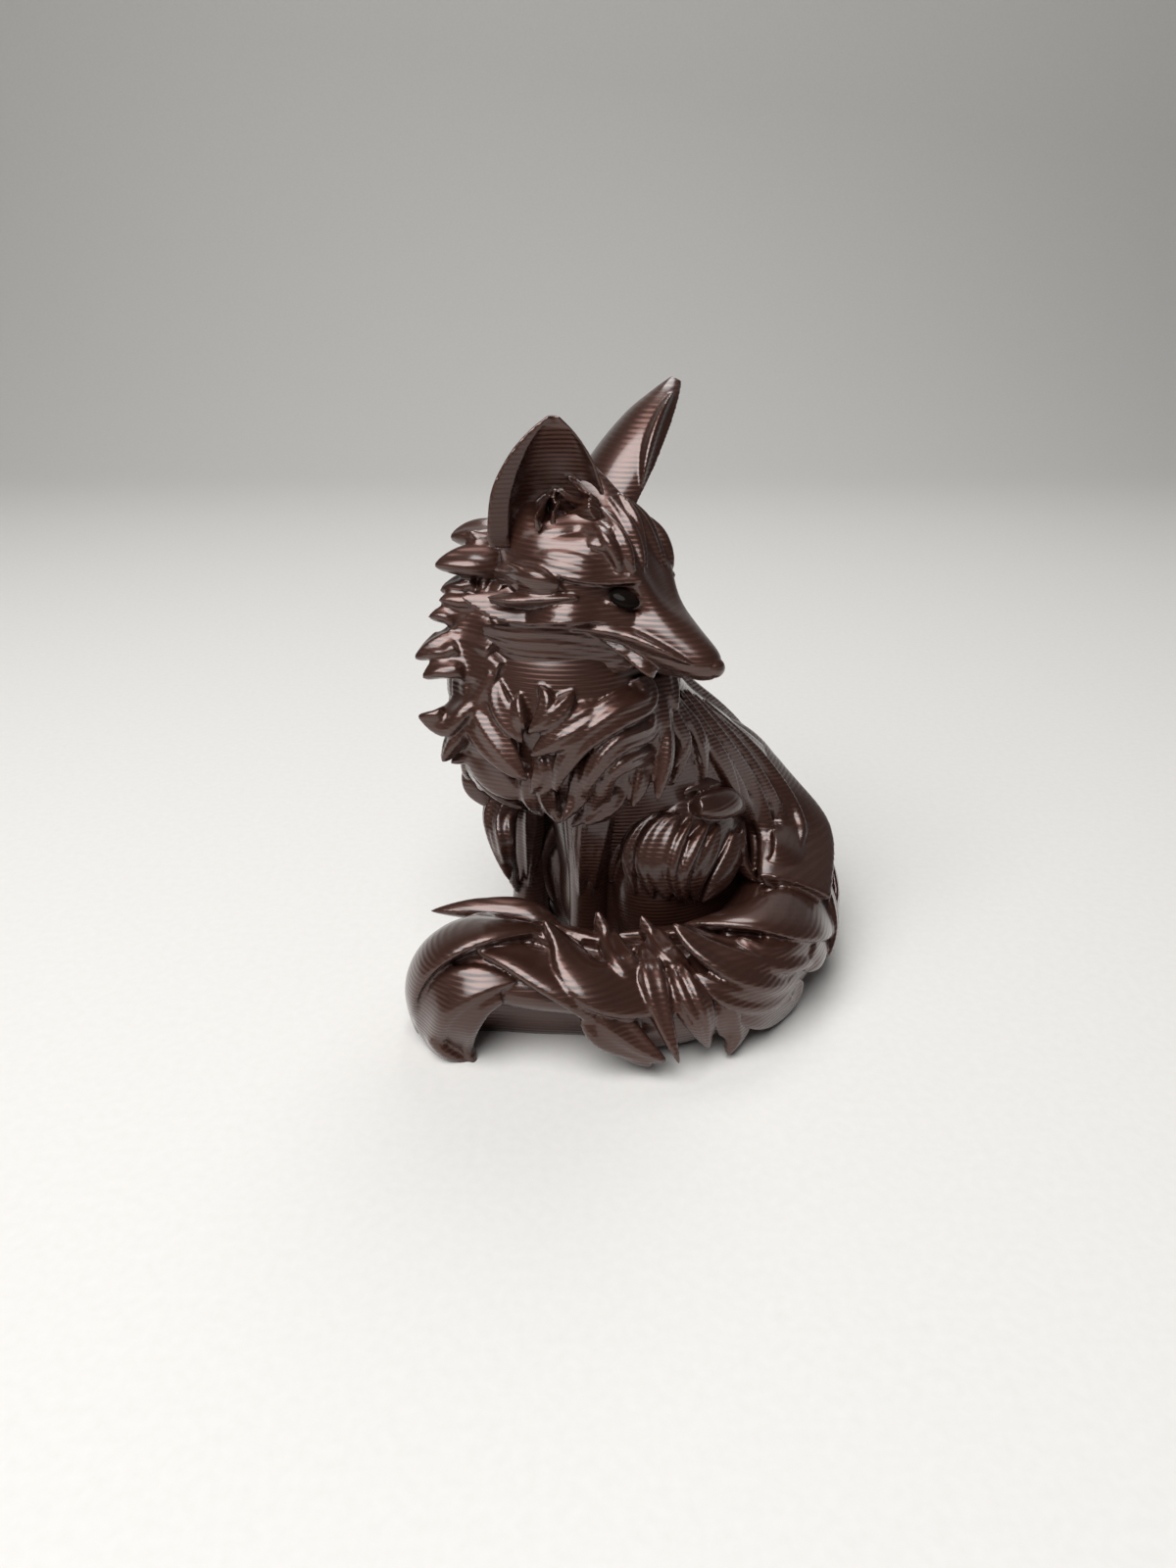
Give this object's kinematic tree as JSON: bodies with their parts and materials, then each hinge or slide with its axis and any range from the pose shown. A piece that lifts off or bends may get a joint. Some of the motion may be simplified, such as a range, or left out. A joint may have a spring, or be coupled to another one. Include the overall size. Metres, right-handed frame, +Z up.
{
  "type": "fox figurine",
  "caption": "Small printed figurine of a sitting fox looking over its left shoulder, with a thick ruff, flowing fur and its tail curled round its feet.",
  "frame": {"origin": "on the floor under the belly, a point of the torso's flat underside", "axes": "+Z up; the figurine is looked at from -Y, with its chest turned 48 degrees towards -X and its face towards +X"},
  "size_m": [0.0559, 0.0524, 0.0711],
  "materials": {
    "silk_plastic": "silky dark brown print with fine level layer lines",
    "eye_bead": "glossy black"
  },
  "bodies": {
    "root": {"back_left_locks": "silk_plastic", "back_right_locks": "silk_plastic", "brow_left": "silk_plastic", "brow_right": "silk_plastic", "cheek_tuft_left": "silk_plastic", "cheek_tuft_right": "silk_plastic", "ear_left": "silk_plastic", "ear_right": "silk_plastic", "ear_tuft_left": "silk_plastic", "ear_tuft_right": "silk_plastic", "eye_left": "eye_bead", "eye_right": "eye_bead", "forehead_lock": "silk_plastic", "foreleg_left": "silk_plastic", "foreleg_right": "silk_plastic", "haunch_left": "silk_plastic", "haunch_right": "silk_plastic", "head": "silk_plastic", "hind_foot_left": "silk_plastic", "hind_foot_right": "silk_plastic", "hip_left_lock": "silk_plastic", "hip_right_lock": "silk_plastic", "lower_jaw": "silk_plastic", "nape_right_locks": "silk_plastic", "nose": "silk_plastic", "ruff": "silk_plastic", "ruff_front_locks": "silk_plastic", "ruff_left_locks": "silk_plastic", "ruff_right_locks": "silk_plastic", "spine_lock": "silk_plastic", "tail_front": "silk_plastic", "tail_front_locks": "silk_plastic", "tail_hook": "silk_plastic", "tail_middle": "silk_plastic", "tail_middle_locks": "silk_plastic", "tail_root": "silk_plastic", "tail_root_locks": "silk_plastic", "tail_tip": "silk_plastic", "tail_tip_locks": "silk_plastic", "thigh_left_locks": "silk_plastic", "torso": "silk_plastic"}
  },
  "joints": []
}
